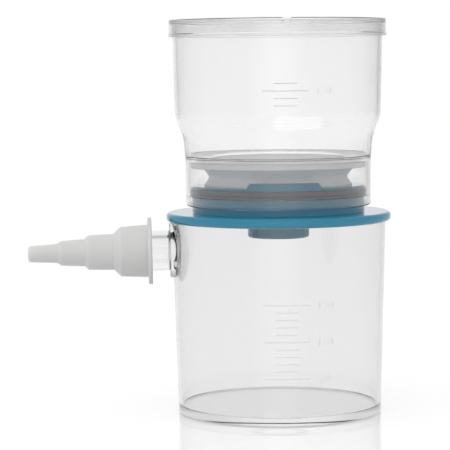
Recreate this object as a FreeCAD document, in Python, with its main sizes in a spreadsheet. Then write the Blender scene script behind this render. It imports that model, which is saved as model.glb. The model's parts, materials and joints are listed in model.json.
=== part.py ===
import FreeCAD, Part
import math
import operator
import os

import Sketcher
from FreeCAD import Vector

# A 150 mL vacuum filtration unit, in millimetres. The origin is the centre of the flat face that
# it stands on, +Z is up along the axis of the cup, and the side arm points towards -X.

doc = FreeCAD.newDocument("vacuum_filtration_unit")

# Driving dimensions

sizes = {
    # receiver cup
    "cup_height": 69.3,
    "cup_bottom_radius": 36.2,
    "cup_taper": 1.95,
    "cup_wall": 1.5,
    "cup_floor": 2.9,
    "cup_foot_round": 1.0,
    "cup_floor_round": 1.4,
    "gate_radius": 6.3,
    "gate_groove": 0.7,
    "gate_depth": 0.4,
    # side arm, which droops by arm_droop; its pad stays below the cup's rim
    "arm_droop": 0.9,
    "arm_radius": 7.1,
    "arm_bore": 4.6,
    "arm_root_round": 0.9,
    "pad_radius": 9.7,
    "pad_proud": 1.1,
    "pad_below_rim": 0.9,
    "arm_bare": 6.35,
    "plug_length": 6.0,
    "plug_inset": 1.0,
    # graduation lines, shared by the cup and the chamber
    "line_relief": 0.15,
    "line_height": 0.35,
    "line_pitch": 2.55,
    "line_short_angle": 12.5,
    "line_long_angle": 25.0,
    "long_line_every": 5,
    "cup_first_line": 16.2,
    "cup_lines": 11,
    "chamber_first_line": 19.7,
    "chamber_lines": 4,
    "chamber_lines_below_long": 2,
    # hose adapter, from its flange outwards
    "adapter_flange_radius": 11.85,
    "adapter_flange": 1.4,
    "adapter_grip": 9.4,
    "adapter_end_gap": 0.5,
    "adapter_wall": 1.1,
    "adapter_floor": 2.2,
    "adapter_tip_round": 0.9,
    "step_one_length": 9.7,
    "step_one_root": 9.35,
    "step_one_tip": 8.8,
    "step_two_length": 9.0,
    "step_two_root": 6.4,
    "step_two_tip": 6.13,
    "step_three_length": 8.2,
    "step_three_root": 4.82,
    "step_three_tip": 4.4,
    "step_four_length": 10.15,
    "step_four_root": 3.35,
    "step_four_tip": 2.83,
    "shoulder_one": 2.5,
    "shoulder_two": 1.4,
    "shoulder_three": 1.6,
    # filter base
    "rim_depth": 1.0,
    "gasket_thickness": 0.6,
    "flange_overhang": 1.55,
    "flange_thickness": 3.3,
    "flange_round": 1.3,
    "collar_gap": 0.8,
    "collar_height": 9.7,
    "collar_wall": 5.7,
    "plate_thickness": 2.2,
    "collar_land": 7.9,
    "dish_step": 0.8,
    "dish_fall": 1.1,
    "boss_radius": 11.0,
    "boss_length": 5.9,
    "boss_wall": 2.2,
    "boss_round": 0.8,
    "nozzle_radius": 4.6,
    "nozzle_bore": 3.0,
    "nozzle_inset": 1.6,
    "rib_thickness": 1.6,
    "rib_inset": 1.7,
    "ribs": 8,
    "lug_height": 1.9,
    "lug_root_width": 25.8,
    "lug_top_width": 22.8,
    "lug_thickness": 2.4,
    # ring seal in the collar's groove
    "seal_height": 3.2,
    "seal_depth": 1.7,
    "seal_below_top": 0.8,
    "seal_round": 0.8,
    # support plate
    "support_height": 8.3,
    "support_disc": 2.0,
    "support_recess": 0.9,
    "recess_margin": 0.4,
    "support_rib": 0.8,
    "support_ring_radius": 12.0,
    "support_hole": 1.5,
    "support_hole_circle": 17.0,
    "spoke_start": 3.0,
    "spokes": 12,
    "foot_inset": 0.65,
    "foot_wall": 2.85,
    "foot_edge": 0.5,
    "waist_inset": 2.0,
    "waist_flare": 2.5,
    "waist_wall": 1.9,
    "waist_round": 1.6,
    # membrane
    "membrane_margin": 1.0,
    "membrane_thickness": 0.2,
    # upper chamber
    "chamber_wall": 1.45,
    "chamber_skirt_gap": 2.3,
    "chamber_skirt_radius": 32.95,
    "chamber_skirt_round": 1.0,
    "chamber_lead_depth": 3.7,
    "chamber_lead": 0.15,
    "chamber_depth": 48.7,
    "ledge_width": 7.5,
    "ledge_thickness": 1.0,
    "ledge_fall": 0.6,
    "shoulder_start": 8.3,
    "shoulder_rise": 7.8,
    "skirt_flare": 0.65,
    "shoulder_step": 2.95,
    "shoulder_round": 12.0,
    "chamber_taper": 0.8,
    # lid
    "lid_thickness": 1.2,
    "lid_wall": 0.9,
    "lid_skirt": 6.0,
    "lid_round": 0.7,
    "lid_lip_height": 0.8,
    "lid_lip_proud": 0.3,
    "lid_pad_width": 3.4,
    "lid_pad_height": 3.1,
    "lid_pad_drop": 1.2,
    "lid_pad_proud": 0.25,
    "lid_notch_radius": 1.6,
    "lid_notch_depth": 2.0,
    # fits, and how far a cut runs past the face that it opens
    "slip_gap": 0.3,
    "lid_gap": 0.25,
    "push_fit_gap": 0.05,
    "seal_gap": 0.08,
    "cut_past": 3.0,
}

sheet = doc.addObject("Spreadsheet::Sheet", "Sizes")
for row, (name, number) in enumerate(sizes.items(), start=1):
    sheet.set(f"A{row}", name)
    sheet.set(f"B{row}", str(number))
    sheet.setAlias(f"B{row}", name)
doc.recompute()


class Size:
    """A length or an angle: its number, and the sheet expression that binds it."""

    def __init__(self, text, number):
        self.text = text
        self.number = float(number)

    def __add__(self, other):
        return combine(self, "+", other)

    def __sub__(self, other):
        return combine(self, "-", other)

    def __mul__(self, other):
        return combine(self, "*", other)

    def __truediv__(self, other):
        return combine(self, "/", other)

    def __neg__(self):
        return combine(0, "-", self)


arithmetic = {"+": operator.add, "-": operator.sub, "*": operator.mul, "/": operator.truediv}


def as_size(value):
    return value if isinstance(value, Size) else Size(str(value), value)


def combine(left, sign, right):
    left = as_size(left)
    right = as_size(right)
    number = arithmetic[sign](left.number, right.number)
    return Size(f"({left.text} {sign} {right.text})", number)


def sine(angle):
    return Size(f"sin({angle.text})", math.sin(math.radians(angle.number)))


def cosine(angle):
    return Size(f"cos({angle.text})", math.cos(math.radians(angle.number)))


def count_of(name):
    return round(sizes[name])


s = {name: Size(f"Sizes.{name}", number) for name, number in sizes.items()}

# Sketches and features


def new_body(name):
    body = doc.addObject("PartDesign::Body", name)
    body.Label = name
    return body


def origin_item(body, role):
    return next(item for item in body.Origin.OriginFeatures if item.Role == role)


def new_sketch(body, name, role, offset=None, along_arm=False):
    """A sketch on one of the body's origin planes, moved along its normal or laid along the arm."""
    sketch = body.newObject("Sketcher::SketchObject", name)
    sketch.AttachmentSupport = (origin_item(body, role), [""])
    sketch.MapMode = "FlatFace"
    if offset is not None:
        sketch.setExpression("AttachmentOffset.Base.z", as_size(offset).text)
    if along_arm:
        sketch.setExpression("AttachmentOffset.Base.y", arm_height.text)
        sketch.setExpression("AttachmentOffset.Rotation.Angle", f"180 + {s['arm_droop'].text}")
    return sketch


def hold(sketch, geometry, vertex, x, y):
    """Pin a vertex at x, y from the sketch's origin; a plain 0 puts it on that axis."""
    for kind, value, axis in (("DistanceX", x, -2), ("DistanceY", y, -1)):
        value = as_size(value)
        if value.text == "0":
            sketch.addConstraint(Sketcher.Constraint("PointOnObject", geometry, vertex, axis))
            continue
        bound = Sketcher.Constraint(kind, -1, 1, geometry, vertex, value.number)
        index = sketch.addConstraint(bound)
        sketch.setExpression(f"Constraints[{index}]", value.text)


def corner_arc(before, here, after, radius):
    """The arc that rounds a corner, drawn anticlockwise, and whether that runs against the line."""
    back = (before - here).normalize()
    ahead = (after - here).normalize()
    half = back.getAngle(ahead) / 2
    inward = (back + ahead).normalize()
    start = here + back * (radius / math.tan(half))
    end = here + ahead * (radius / math.tan(half))
    middle = here + inward * (radius / math.sin(half) - radius)
    clockwise = back.cross(ahead).z > 0
    arc = Part.Arc(end, middle, start) if clockwise else Part.Arc(start, middle, end)
    return start, end, arc, clockwise


def draw(sketch, corners):
    """Close a line through the corners; a third value in a corner rounds it by that radius."""
    points = [Vector(as_size(c[0]).number, as_size(c[1]).number, 0) for c in corners]
    count = len(corners)
    arrive = list(points)
    leave = list(points)
    arcs = {}
    for i, corner in enumerate(corners):
        if len(corner) == 3:
            after = points[(i + 1) % count]
            arrive[i], leave[i], *arcs[i] = corner_arc(points[i - 1], points[i], after, corner[2].number)
    lines = []
    for i in range(count):
        line = Part.LineSegment(leave[i], arrive[(i + 1) % count])
        lines.append(sketch.addGeometry(line, False))
    for i, corner in enumerate(corners):
        if i not in arcs:
            joint = Sketcher.Constraint("Coincident", lines[i - 1], 2, lines[i], 1)
            sketch.addConstraint(joint)
            hold(sketch, lines[i], 1, corner[0], corner[1])
            continue
        arc, clockwise = arcs[i]
        curve = sketch.addGeometry(arc, False)
        first, last = (2, 1) if clockwise else (1, 2)
        sketch.addConstraint(Sketcher.Constraint("Tangent", lines[i - 1], 2, curve, first))
        sketch.addConstraint(Sketcher.Constraint("Tangent", curve, last, lines[i], 1))
        radius = sketch.addConstraint(Sketcher.Constraint("Radius", curve, corner[2].number))
        sketch.setExpression(f"Constraints[{radius}]", corner[2].text)
        point = sketch.addGeometry(Part.Point(points[i]), True)
        for line in (lines[i - 1], lines[i]):
            sketch.addConstraint(Sketcher.Constraint("PointOnObject", point, 1, line))
        hold(sketch, point, 1, corner[0], corner[1])


def draw_circle(sketch, x, y, radius):
    x = as_size(x)
    circle = Part.Circle(Vector(x.number, y.number, 0), Vector(0, 0, 1), radius.number)
    index = sketch.addGeometry(circle, False)
    bound = sketch.addConstraint(Sketcher.Constraint("Radius", index, radius.number))
    sketch.setExpression(f"Constraints[{bound}]", radius.text)
    hold(sketch, index, 3, x, y)


def box_corners(left, right, low, high):
    return [(left, low), (right, low), (right, high), (left, high)]


def settle(feature, before, grows):
    """Recompute, and make sure that the feature added or removed something."""
    doc.recompute()
    change = feature.Shape.Volume - before
    if change == 0 or (change > 0) != grows:
        raise RuntimeError(f"{feature.Name} changed the volume by {change:.3f}")
    return feature


def volume_of(body):
    return body.Tip.Shape.Volume if body.Tip else 0.0


def turn(body, sketch, name, adds=True, axis="V_Axis", sweep=None):
    """Turn a sketch about one of its axes, adding to the body or cutting it."""
    before = volume_of(body)
    feature = body.newObject("PartDesign::Revolution" if adds else "PartDesign::Groove", name)
    feature.Profile = sketch
    feature.ReferenceAxis = (sketch, [axis])
    if sweep is not None:
        feature.Midplane = True
        feature.setExpression("Angle", sweep.text)
    return settle(feature, before, adds)


def push(body, sketch, name, length, adds=True, midplane=False, reverse=False):
    """Push a sketch out along its normal, adding to the body or cutting it."""
    before = volume_of(body)
    feature = body.newObject("PartDesign::Pad" if adds else "PartDesign::Pocket", name)
    feature.Profile = sketch
    feature.setExpression("Length", length.text)
    feature.SideType = "Symmetric" if midplane else "One side"
    feature.Reversed = reverse
    return settle(feature, before, adds)


def ring_of(body, features, name, copies, adds=True):
    """Repeat features round the body's own Z axis."""
    before = volume_of(body)
    pattern = body.newObject("PartDesign::PolarPattern", name)
    pattern.Originals = features
    pattern.Axis = (origin_item(body, "Z_Axis"), [""])
    pattern.Angle = 360
    pattern.setExpression("Occurrences", copies.text)
    body.Tip = pattern
    return settle(pattern, before, adds)


def turned(body, name, corners, adds=True, role="XZ_Plane"):
    """Draw an outline of radius and height, and turn it about the Z axis."""
    sketch = new_sketch(body, f"{name}_outline", role)
    draw(sketch, corners)
    return turn(body, sketch, name, adds)


def turned_on_arm(body, name, corners, adds=True):
    """Draw an outline of distance and radius along the side arm, and turn it about the arm."""
    sketch = new_sketch(body, f"{name}_outline", "XZ_Plane", along_arm=True)
    draw(sketch, corners)
    return turn(body, sketch, name, adds, axis="H_Axis")


def graduations(body, name, heights, outer_radius, sweep):
    """Raised lines across the front of a tapered wall, whose radius at a height is a function."""
    sketch = new_sketch(body, f"{name}_outline", "YZ_Plane")
    for height in heights:
        face = outer_radius(height) + s["line_relief"]
        root = outer_radius(height) - s["line_relief"]
        draw(sketch, box_corners(-face, -root, height, height + s["line_height"]))
    return turn(body, sketch, name, sweep=sweep)


# Heights and radii that the pieces share

flange_low = s["cup_height"] - s["rim_depth"]
flange_high = flange_low + s["flange_thickness"]
collar_top = flange_high + s["collar_height"]
support_top = collar_top + s["support_height"]
membrane_top = support_top + s["membrane_thickness"]
chamber_low = flange_high + s["chamber_skirt_gap"]
shoulder_low = membrane_top + s["shoulder_start"]
shoulder_high = shoulder_low + s["shoulder_rise"]
chamber_top = membrane_top + s["chamber_depth"]
lid_top = chamber_top + s["lid_thickness"]
lid_low = lid_top - s["lid_skirt"]

cup_top_radius = s["cup_bottom_radius"] + s["cup_taper"]
groove_inner = cup_top_radius - s["cup_wall"] - s["slip_gap"]
groove_outer = cup_top_radius + s["slip_gap"]
flange_radius = groove_outer + s["flange_overhang"]

skirt_bore = s["chamber_skirt_radius"] - s["chamber_wall"]
shoulder_low_radius = s["chamber_skirt_radius"] + s["skirt_flare"]
shoulder_high_radius = shoulder_low_radius + s["shoulder_step"]
chamber_top_radius = shoulder_high_radius + s["chamber_taper"]
ledge_radius = skirt_bore - s["ledge_width"]
collar_radius = skirt_bore - s["collar_gap"]
dish_radius = collar_radius - s["collar_land"]


def cup_radius(height):
    """Outer radius of the receiver cup."""
    return s["cup_bottom_radius"] + s["cup_taper"] / s["cup_height"] * height


def chamber_radius(height):
    """Outer radius of the upper chamber above its shoulder."""
    slope = s["chamber_taper"] / (chamber_top - shoulder_high)
    return shoulder_high_radius + slope * (height - shoulder_high)


arm_height = s["cup_height"] - s["pad_below_rim"] - s["pad_radius"]
pad_face = cup_radius(arm_height) + s["pad_proud"]
adapter_start = pad_face + s["arm_bare"]
arm_end = adapter_start + s["adapter_grip"]

# Receiver: cup, plug and hose adapter


def make_receiver_cup():
    body = new_body("receiver_cup")
    turned(body, "cup", [
        (0, 0),
        (s["cup_bottom_radius"], 0, s["cup_foot_round"]),
        (cup_top_radius, s["cup_height"]),
        (0, s["cup_height"]),
    ])
    pad_root = s["cup_bottom_radius"] - s["cup_wall"]
    turned_on_arm(body, "arm", [
        (pad_root, 0),
        (pad_root, s["pad_radius"]),
        (pad_face, s["pad_radius"]),
        (pad_face, s["arm_radius"], s["arm_root_round"]),
        (arm_end, s["arm_radius"]),
        (arm_end, 0),
    ])
    floor_radius = cup_radius(s["cup_floor"]) - s["cup_wall"]
    turned(body, "cup_inside", [
        (0, s["cup_floor"]),
        (floor_radius, s["cup_floor"], s["cup_floor_round"]),
        (cup_top_radius - s["cup_wall"], s["cup_height"]),
        (0, s["cup_height"]),
    ], adds=False)
    bore = box_corners(pad_root - s["cut_past"], arm_end, 0, s["arm_bore"])
    turned_on_arm(body, "arm_bore", bore, adds=False)
    groove = box_corners(s["gate_radius"] - s["gate_groove"], s["gate_radius"], 0, s["gate_depth"])
    turned(body, "gate_ring", groove, adds=False)
    heights = [s["cup_first_line"] + s["line_pitch"] * i for i in range(count_of("cup_lines"))]
    long_lines = heights[::count_of("long_line_every")]
    short_lines = [height for height in heights if height not in long_lines]
    graduations(body, "long_lines", long_lines, cup_radius, s["line_long_angle"])
    graduations(body, "short_lines", short_lines, cup_radius, s["line_short_angle"])
    return body


def make_side_arm_plug():
    body = new_body("side_arm_plug")
    outer_end = arm_end - s["plug_inset"]
    radius = s["arm_bore"] - s["push_fit_gap"]
    turned_on_arm(body, "plug", box_corners(outer_end - s["plug_length"], outer_end, 0, radius))
    return body


def make_hose_adapter():
    """Flange, four tapering steps for four hose sizes, and a bore that follows them inside."""
    body = new_body("hose_adapter")
    steps = ("one", "two", "three", "four")
    socket_radius = s["arm_radius"] + s["push_fit_gap"]
    low = adapter_start + s["adapter_flange"]
    outside = [
        (adapter_start, socket_radius),
        (adapter_start, s["adapter_flange_radius"]),
        (low, s["adapter_flange_radius"]),
    ]
    lows = []
    for step in steps:
        lows.append(low)
        tip = low + s[f"step_{step}_length"]
        outside.append((low, s[f"step_{step}_root"]))
        if step == "four":
            outside.append((tip, s[f"step_{step}_tip"], s["adapter_tip_round"]))
        else:
            outside.append((tip, s[f"step_{step}_tip"]))
            low = tip + s[f"shoulder_{step}"]
    bores = [s[f"step_{step}_tip"] - s["adapter_wall"] for step in steps[1:]]
    floors = [arm_end + s["adapter_end_gap"]] + [low - s["adapter_floor"] for low in lows[2:]]
    inside = []
    for bore, floor in zip(reversed(bores), reversed(floors)):
        inside += [(tip, bore), (floor, bore)]
        tip = floor
    inside.append((tip, socket_radius))
    turned_on_arm(body, "adapter", outside + inside)
    return body


# Filter base and seals

seal_high = collar_top - s["seal_below_top"]
seal_low = seal_high - s["seal_height"]
seal_root = collar_radius - s["seal_depth"]
gasket_high = s["cup_height"] + s["gasket_thickness"]
core_radius = collar_radius - s["collar_wall"]
dish_edge = collar_top - s["dish_step"]
dish_centre = dish_edge - s["dish_fall"]
core_top = dish_centre - s["plate_thickness"]
boss_low = flange_low - s["boss_length"]
nozzle_low = boss_low + s["nozzle_inset"]


def make_filter_base():
    body = new_body("filter_base")
    boss_inner = s["boss_radius"] - s["boss_wall"]
    turned(body, "base", [
        (s["nozzle_bore"], nozzle_low),
        (s["nozzle_radius"], nozzle_low),
        (s["nozzle_radius"], core_top),
        (boss_inner, core_top),
        (boss_inner, boss_low),
        (s["boss_radius"], boss_low, s["boss_round"]),
        (s["boss_radius"], core_top),
        (core_radius, core_top),
        (core_radius, flange_low),
        (groove_inner, flange_low),
        (groove_inner, gasket_high),
        (groove_outer, gasket_high),
        (groove_outer, flange_low),
        (flange_radius, flange_low, s["flange_round"]),
        (flange_radius, flange_high, s["flange_round"]),
        (collar_radius, flange_high),
        (collar_radius, seal_low),
        (seal_root, seal_low),
        (seal_root, seal_high),
        (collar_radius, seal_high),
        (collar_radius, collar_top),
        (dish_radius, collar_top),
        (dish_radius, dish_edge),
        (s["nozzle_bore"], dish_centre),
    ])
    add_ribs(body)
    add_lugs(body)
    return body


def add_ribs(body):
    """Upright ribs under the plate, from the outlet boss to the collar, sunk a little into each."""
    low = flange_low + s["rib_inset"]
    half = s["rib_thickness"] / 2
    sink = s["boss_wall"] / 2
    sketch = new_sketch(body, "rib_outline", "XY_Plane", offset=low)
    draw(sketch, box_corners(s["boss_radius"] - sink, core_radius + sink, -half, half))
    rib = push(body, sketch, "rib", core_top + sink - low)
    ring_of(body, [rib], "ribs", s["ribs"])


def add_lugs(body):
    """Two lugs with sloping ends that stand on the collar, at the front and at the back."""
    lug_top = collar_top + s["lug_height"]
    sketch = new_sketch(body, "lug_outline", "XZ_Plane")
    draw(sketch, [
        (-s["lug_root_width"] / 2, collar_top),
        (s["lug_root_width"] / 2, collar_top),
        (s["lug_top_width"] / 2, lug_top),
        (-s["lug_top_width"] / 2, lug_top),
    ])
    push(body, sketch, "lug_bar", flange_radius * 2, midplane=True)
    inner = collar_radius - s["lug_thickness"]
    outer = flange_radius + s["cut_past"]
    for name, near, far in (("lug_inside", 0, inner), ("lug_outside", collar_radius, outer)):
        turned(body, name, box_corners(near, far, collar_top, lug_top), adds=False)


def make_chamber_seal():
    body = new_body("chamber_seal")
    inner = seal_root + s["push_fit_gap"]
    outer = skirt_bore - s["seal_gap"]
    turned(body, "seal", [
        (inner, seal_low),
        (outer, seal_low, s["seal_round"]),
        (outer, seal_high, s["seal_round"]),
        (inner, seal_high),
    ])
    return body


def make_receiver_gasket():
    body = new_body("receiver_gasket")
    inner = groove_inner + s["push_fit_gap"]
    outer = groove_outer - s["push_fit_gap"]
    turned(body, "gasket", box_corners(inner, outer, s["cup_height"], gasket_high))
    return body


# Support plate and membrane


def make_support_plate():
    """A disc on a waisted foot; under the membrane it is recessed, with ribs, a ring and holes."""
    body = new_body("support_plate")
    disc_low = support_top - s["support_disc"]
    recess = support_top - s["support_recess"]
    recess_radius = ledge_radius - s["recess_margin"]
    foot_inner = dish_radius + s["foot_inset"]
    foot_radius = foot_inner + s["foot_wall"]
    waist_radius = foot_radius - s["waist_inset"]
    waist_inner = waist_radius - s["waist_wall"]
    waist_height = (collar_top + disc_low) / 2
    turned(body, "plate", [
        (s["support_hole"], disc_low),
        (waist_inner, disc_low),
        (foot_inner, collar_top),
        (foot_radius, collar_top),
        (foot_radius, collar_top + s["foot_edge"]),
        (waist_radius, waist_height, s["waist_round"]),
        (waist_radius + s["waist_flare"], disc_low),
        (skirt_bore - s["slip_gap"], disc_low),
        (skirt_bore - s["slip_gap"], support_top),
        (recess_radius, support_top),
        (recess_radius, recess),
        (s["support_hole"], recess),
    ])
    half = s["support_rib"] / 2
    ring = s["support_ring_radius"]
    turned(body, "support_ring", box_corners(ring - half, ring + half, disc_low, support_top))
    sketch = new_sketch(body, "spoke_outline", "XY_Plane", offset=disc_low)
    draw(sketch, box_corners(s["spoke_start"], recess_radius + half, -half, half))
    spoke = push(body, sketch, "spoke", s["support_disc"])
    ring_of(body, [spoke], "spokes", s["spokes"])
    sketch = new_sketch(body, "hole_outline", "XY_Plane", offset=disc_low)
    between_spokes = as_size(180) / s["spokes"]
    x = s["support_hole_circle"] * cosine(between_spokes)
    y = s["support_hole_circle"] * sine(between_spokes)
    draw_circle(sketch, x, y, s["support_hole"])
    hole = push(body, sketch, "hole", s["support_disc"], adds=False, reverse=True)
    ring_of(body, [hole], "holes", s["spokes"], adds=False)
    return body


def make_membrane():
    body = new_body("membrane")
    radius = ledge_radius + s["membrane_margin"]
    turned(body, "disc", box_corners(0, radius, support_top, membrane_top))
    return body


# Upper chamber and lid


def make_upper_chamber():
    body = new_body("upper_chamber")
    wall = s["chamber_wall"]
    lead_top = chamber_low + s["chamber_lead_depth"]
    ledge_low = membrane_top
    ledge_wall_top = ledge_low + s["ledge_thickness"] + s["ledge_fall"]
    turned(body, "chamber", [
        (skirt_bore + s["chamber_lead"], chamber_low),
        (s["chamber_skirt_radius"], chamber_low, s["chamber_skirt_round"]),
        (s["chamber_skirt_radius"], support_top),
        (shoulder_low_radius, shoulder_low, s["shoulder_round"]),
        (shoulder_high_radius, shoulder_high, s["shoulder_round"]),
        (chamber_top_radius, chamber_top),
        (chamber_top_radius - wall, chamber_top),
        (shoulder_high_radius - wall, shoulder_high, s["shoulder_round"] - wall),
        (shoulder_low_radius - wall, shoulder_low, s["shoulder_round"] + wall),
        (skirt_bore, ledge_wall_top),
        (ledge_radius, ledge_low + s["ledge_thickness"]),
        (ledge_radius, ledge_low),
        (skirt_bore, ledge_low),
        (skirt_bore, lead_top),
        (skirt_bore + s["chamber_lead"], lead_top - s["chamber_lead"]),
    ])
    first_line = membrane_top + s["chamber_first_line"]
    heights = [first_line + s["line_pitch"] * i for i in range(count_of("chamber_lines"))]
    long_lines = heights[count_of("chamber_lines_below_long")::count_of("long_line_every")]
    short_lines = [height for height in heights if height not in long_lines]
    graduations(body, "long_lines", long_lines, chamber_radius, s["line_long_angle"])
    graduations(body, "short_lines", short_lines, chamber_radius, s["line_short_angle"])
    return body


def make_lid():
    body = new_body("lid")
    bore = chamber_top_radius + s["lid_gap"]
    radius = bore + s["lid_wall"]
    lip = radius + s["lid_lip_proud"]
    lip_top = lid_low + s["lid_lip_height"]
    turned(body, "cover", [
        (0, chamber_top),
        (bore, chamber_top),
        (bore, lid_low),
        (lip, lid_low),
        (lip, lip_top),
        (radius, lip_top + s["lid_lip_proud"]),
        (radius, lid_top, s["lid_round"]),
        (0, lid_top),
    ])
    add_lid_pad(body, radius)
    add_lid_notch(body, radius)
    return body


def add_lid_pad(body, radius):
    """A flat pad on the front of the skirt."""
    half = s["lid_pad_width"] / 2
    high = lid_top - s["lid_pad_drop"]
    inset = s["lid_wall"] / 2
    sketch = new_sketch(body, "pad_outline", "XZ_Plane", offset=radius - inset)
    draw(sketch, box_corners(-half, half, high - s["lid_pad_height"], high))
    push(body, sketch, "pad", inset + s["lid_pad_proud"])


def add_lid_notch(body, radius):
    """A half-round notch in the top edge, over the pad."""
    inner = radius - s["lid_notch_depth"]
    sketch = new_sketch(body, "notch_outline", "XZ_Plane", offset=inner)
    draw_circle(sketch, 0, lid_top, s["lid_notch_radius"])
    push(body, sketch, "notch", s["lid_notch_depth"] + s["cut_past"], adds=False, reverse=True)


# Make, check and write

parts = [
    make_receiver_cup(),
    make_side_arm_plug(),
    make_hose_adapter(),
    make_filter_base(),
    make_chamber_seal(),
    make_receiver_gasket(),
    make_support_plate(),
    make_membrane(),
    make_upper_chamber(),
    make_lid(),
]
doc.recompute()

for item in doc.Objects:
    if "Invalid" in item.State or "Error" in item.State:
        raise RuntimeError(f"{item.Name} failed: {item.State}")
for part in parts:
    if part.Shape.isNull() or not part.Shape.isValid() or len(part.Shape.Solids) != 1:
        raise RuntimeError(f"{part.Label} is not one valid solid")

os.makedirs("parts", exist_ok=True)
for part in parts:
    part.Shape.exportStep(f"parts/{part.Label}.step")
    box = part.Shape.BoundBox
    print(
        f"{part.Label}: {part.Shape.Volume:.1f} mm3, "
        f"x {box.XMin:.2f} {box.XMax:.2f}, y {box.YMin:.2f} {box.YMax:.2f}, z {box.ZMin:.2f} {box.ZMax:.2f}"
    )
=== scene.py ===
import json
import math

import bpy
from mathutils import Matrix, Vector


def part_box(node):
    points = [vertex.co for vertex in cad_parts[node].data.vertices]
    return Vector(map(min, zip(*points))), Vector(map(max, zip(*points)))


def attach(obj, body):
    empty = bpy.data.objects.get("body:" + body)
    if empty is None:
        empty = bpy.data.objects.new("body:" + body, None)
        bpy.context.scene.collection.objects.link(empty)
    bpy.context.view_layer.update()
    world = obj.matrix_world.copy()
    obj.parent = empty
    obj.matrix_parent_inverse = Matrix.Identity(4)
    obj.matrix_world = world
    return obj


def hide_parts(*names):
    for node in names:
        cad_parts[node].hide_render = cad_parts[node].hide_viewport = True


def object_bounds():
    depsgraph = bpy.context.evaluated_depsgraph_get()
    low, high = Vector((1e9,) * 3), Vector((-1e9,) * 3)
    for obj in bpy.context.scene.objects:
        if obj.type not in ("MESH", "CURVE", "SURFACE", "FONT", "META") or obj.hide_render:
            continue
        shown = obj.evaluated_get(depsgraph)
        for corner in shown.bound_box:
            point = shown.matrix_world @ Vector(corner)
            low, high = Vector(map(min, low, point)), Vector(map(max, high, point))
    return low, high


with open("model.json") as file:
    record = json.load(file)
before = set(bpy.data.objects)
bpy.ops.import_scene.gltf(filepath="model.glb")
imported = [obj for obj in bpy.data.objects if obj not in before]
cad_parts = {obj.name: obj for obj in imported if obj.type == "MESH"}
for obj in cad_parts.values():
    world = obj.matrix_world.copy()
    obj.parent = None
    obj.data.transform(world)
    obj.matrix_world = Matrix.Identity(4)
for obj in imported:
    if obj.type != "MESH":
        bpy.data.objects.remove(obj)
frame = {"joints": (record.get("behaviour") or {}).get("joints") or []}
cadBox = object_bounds()
mm = 0.001

# Places that the pieces share, read from the frame
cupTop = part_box("receiver_cup")[1].z
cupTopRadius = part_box("receiver_cup")[1].y
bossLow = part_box("filter_base")[0].z
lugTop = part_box("filter_base")[1].z
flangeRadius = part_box("filter_base")[1].y
sealLow, sealHigh = (corner.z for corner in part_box("chamber_seal"))
collarTop, supportTop = (corner.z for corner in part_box("support_plate"))
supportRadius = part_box("support_plate")[1].y
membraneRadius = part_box("membrane")[1].y
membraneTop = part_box("membrane")[1].z
chamberLow, chamberTop = (corner.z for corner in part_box("upper_chamber"))
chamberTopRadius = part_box("upper_chamber")[1].y
lidLow, lidTop = (corner.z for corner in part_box("lid"))
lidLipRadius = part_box("lid")[1].y
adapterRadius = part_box("hose_adapter")[1].y
adapterPull = next(joint for joint in frame["joints"] if joint["name"] == "adapter_pull")
armDirection = Vector(adapterPull["axis"])

# Two lathes: one upright, and one laid along the side arm. A point on either is
# (distance from the axis, distance along it) in mm.
armHeight = 58.7 * mm
upright = {"centre": Vector((0, 0, 0)), "axis": Vector((0, 0, 1)), "out": Vector((1, 0, 0))}
alongArm = {
    "centre": Vector((0, 0, armHeight)),
    "axis": armDirection,
    "out": Vector((armDirection.z, 0, -armDirection.x)),
}
print("frame loaded")


# Shaping tools

rounding = {"step": 7, "hold": 0.1, "widestHold": 0.3, "smoothAngle": 32}
mergeDistance = mm / 1000


def roundCorners(corners):
    # A third value in a corner rounds it by that radius. A narrow strip at each side of the
    # rounding holds the wide faces flat, because clear plastic shows every bend in their shading.
    points = []
    for i, corner in enumerate(corners):
        here = Vector(corner[:2])
        if len(corner) == 2:
            points.append(here)
            continue
        back = (Vector(corners[i - 1][:2]) - here).normalized()
        ahead = (Vector(corners[(i + 1) % len(corners)][:2]) - here).normalized()
        half = back.angle(ahead) / 2
        centre = here + (back + ahead).normalized() * corner[2] / math.sin(half)
        reach = corner[2] / math.tan(half)
        hold = min(corner[2] * rounding["hold"], rounding["widestHold"])
        first = here + back * reach - centre
        last = here + ahead * reach - centre
        pieces = max(2, math.ceil((math.pi - 2 * half) / math.radians(rounding["step"])))
        points.append(here + back * (reach + hold))
        points += [centre + first.slerp(last, k / pieces) * corner[2] for k in range(pieces + 1)]
        points.append(here + ahead * (reach + hold))
    return points


def drawOutline(name, corners, lathe, ring):
    # One vertex, extruded from corner to corner
    points = [
        lathe["centre"] + lathe["out"] * point.x * mm + lathe["axis"] * point.y * mm
        for point in roundCorners(corners)
    ]
    if ring:
        points.append(points[0])
    bpy.ops.object.select_all(action="DESELECT")
    bpy.ops.mesh.primitive_plane_add(size=mm)
    piece = bpy.context.object
    piece.name = name
    bpy.ops.object.mode_set(mode="EDIT")
    bpy.ops.mesh.merge(type="CENTER")
    bpy.ops.transform.translate(value=points[0])
    for here, there in zip(points, points[1:]):
        bpy.ops.mesh.extrude_region_move(TRANSFORM_OT_translate={"value": there - here})
    bpy.ops.mesh.select_all(action="SELECT")
    return piece


def tidyMesh():
    bpy.ops.mesh.select_all(action="SELECT")
    bpy.ops.mesh.remove_doubles(threshold=mergeDistance)
    bpy.ops.mesh.normals_make_consistent(inside=False)
    bpy.ops.object.mode_set(mode="OBJECT")


def turnPiece(name, corners, lathe=upright, ring=False, steps=180):
    # A full turn of an outline that starts and ends on the axis, or of a ring's closed outline
    piece = drawOutline(name, corners, lathe, ring)
    bpy.ops.mesh.spin(steps=steps, angle=math.tau, center=lathe["centre"], axis=lathe["axis"])
    tidyMesh()
    return piece


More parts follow.
